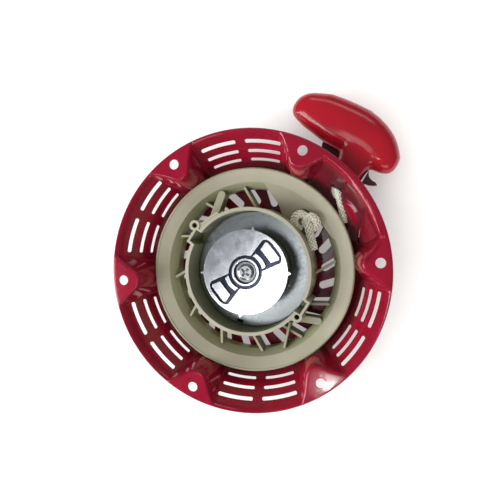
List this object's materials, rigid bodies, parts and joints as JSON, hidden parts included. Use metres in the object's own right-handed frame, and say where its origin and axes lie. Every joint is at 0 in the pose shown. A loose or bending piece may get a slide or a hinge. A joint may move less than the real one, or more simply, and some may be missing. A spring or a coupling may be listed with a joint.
{
  "type": "recoil starter",
  "caption": "Hand-pull recoil starter: vented pressed steel case, rope reel with mainspring, pawls and ratchet guide, rope and T-handle.",
  "frame": {"origin": "centre of the six-bolt circle, on the mounting flange's face", "axes": "+Z along the reel's axis towards the engine, +X through one mounting hole"},
  "size_m": [0.2104, 0.2225, 0.0499],
  "materials": {
    "case_paint": "gloss",
    "post_steel": "turned",
    "horn_paint": "gloss",
    "bush_steel": "pressed",
    "screw_steel": "zinc plated",
    "washer_steel": "zinc plated",
    "lead_cord": "braided cord",
    "reel_nylon": "moulded nylon",
    "plate_steel": "zinc plated",
    "spring_steel": "oiled spring steel",
    "cover_steel": "zinc plated",
    "winding_cord": "braided cord",
    "knot_cord": "braided cord",
    "pin_steel": "ground",
    "pawl_spring_steel": "spring wire",
    "pawl_steel": "hardened",
    "guide_steel": "bright zinc plated",
    "friction_steel": "spring wire",
    "grip_plastic": "gloss",
    "handle_washer_steel": "pressed",
    "handle_cord": "braided cord",
    "handle_knot_cord": "braided cord"
  },
  "bodies": {
    "case_body": {"case": "case_paint", "centre_post": "post_steel", "outlet_horn": "horn_paint", "rope_bush": "bush_steel", "centre_screw": "screw_steel", "screw_washer": "washer_steel", "rope_lead": "lead_cord"},
    "reel_body": {"reel": "reel_nylon", "cup_plate": "plate_steel", "main_spring": "spring_steel", "spring_cover": "cover_steel", "rope_winding": "winding_cord", "reel_knot": "knot_cord", "pawl_pins": "pin_steel", "pawl_spring_1": "pawl_spring_steel", "pawl_spring_2": "pawl_spring_steel"},
    "pawl_1_body": {"pawl_1": "pawl_steel"},
    "pawl_2_body": {"pawl_2": "pawl_steel"},
    "guide_body": {"ratchet_guide": "guide_steel", "friction_spring": "friction_steel"},
    "handle_body": {"handle_grip": "grip_plastic", "handle_washer": "handle_washer_steel", "handle_rope": "handle_cord", "handle_knot": "handle_knot_cord"}
  },
  "joints": [
    {"name": "reel_spin", "type": "hinge", "parent": "case_body", "child": "reel_body", "pos_m": [0, 0, -0.03], "axis": [0, 0, 1], "range_deg": [0, 936], "stiffness_Nm_per_rad": 0.02, "springref_deg": -343.77},
    {"name": "guide_turn", "type": "hinge", "parent": "reel_body", "child": "guide_body", "pos_m": [0, 0, 0], "axis": [0, 0, 1], "range_deg": [-35, 0]},
    {"name": "pawl_1_swing", "type": "hinge", "parent": "reel_body", "child": "pawl_1_body", "pos_m": [-0.01455, 0.01221, -0.005], "axis": [0, 0, 1], "range_deg": [-44, 0]},
    {"name": "pawl_2_swing", "type": "hinge", "parent": "reel_body", "child": "pawl_2_body", "pos_m": [0.01455, -0.01221, -0.005], "axis": [0, 0, 1], "range_deg": [-44, 0]},
    {"name": "handle_pull", "type": "slide", "parent": "case_body", "child": "handle_body", "axis": [0.5693, 0.8221, 0], "range_m": [0, 1.0916]}
  ],
  "couplings": [
    {"joint": "handle_pull", "follows": "reel_spin", "m_per_rad": 0.0668},
    {"joint": "pawl_1_swing", "follows": "guide_turn", "ratio": 1.2571},
    {"joint": "pawl_2_swing", "follows": "guide_turn", "ratio": 1.2571}
  ]
}
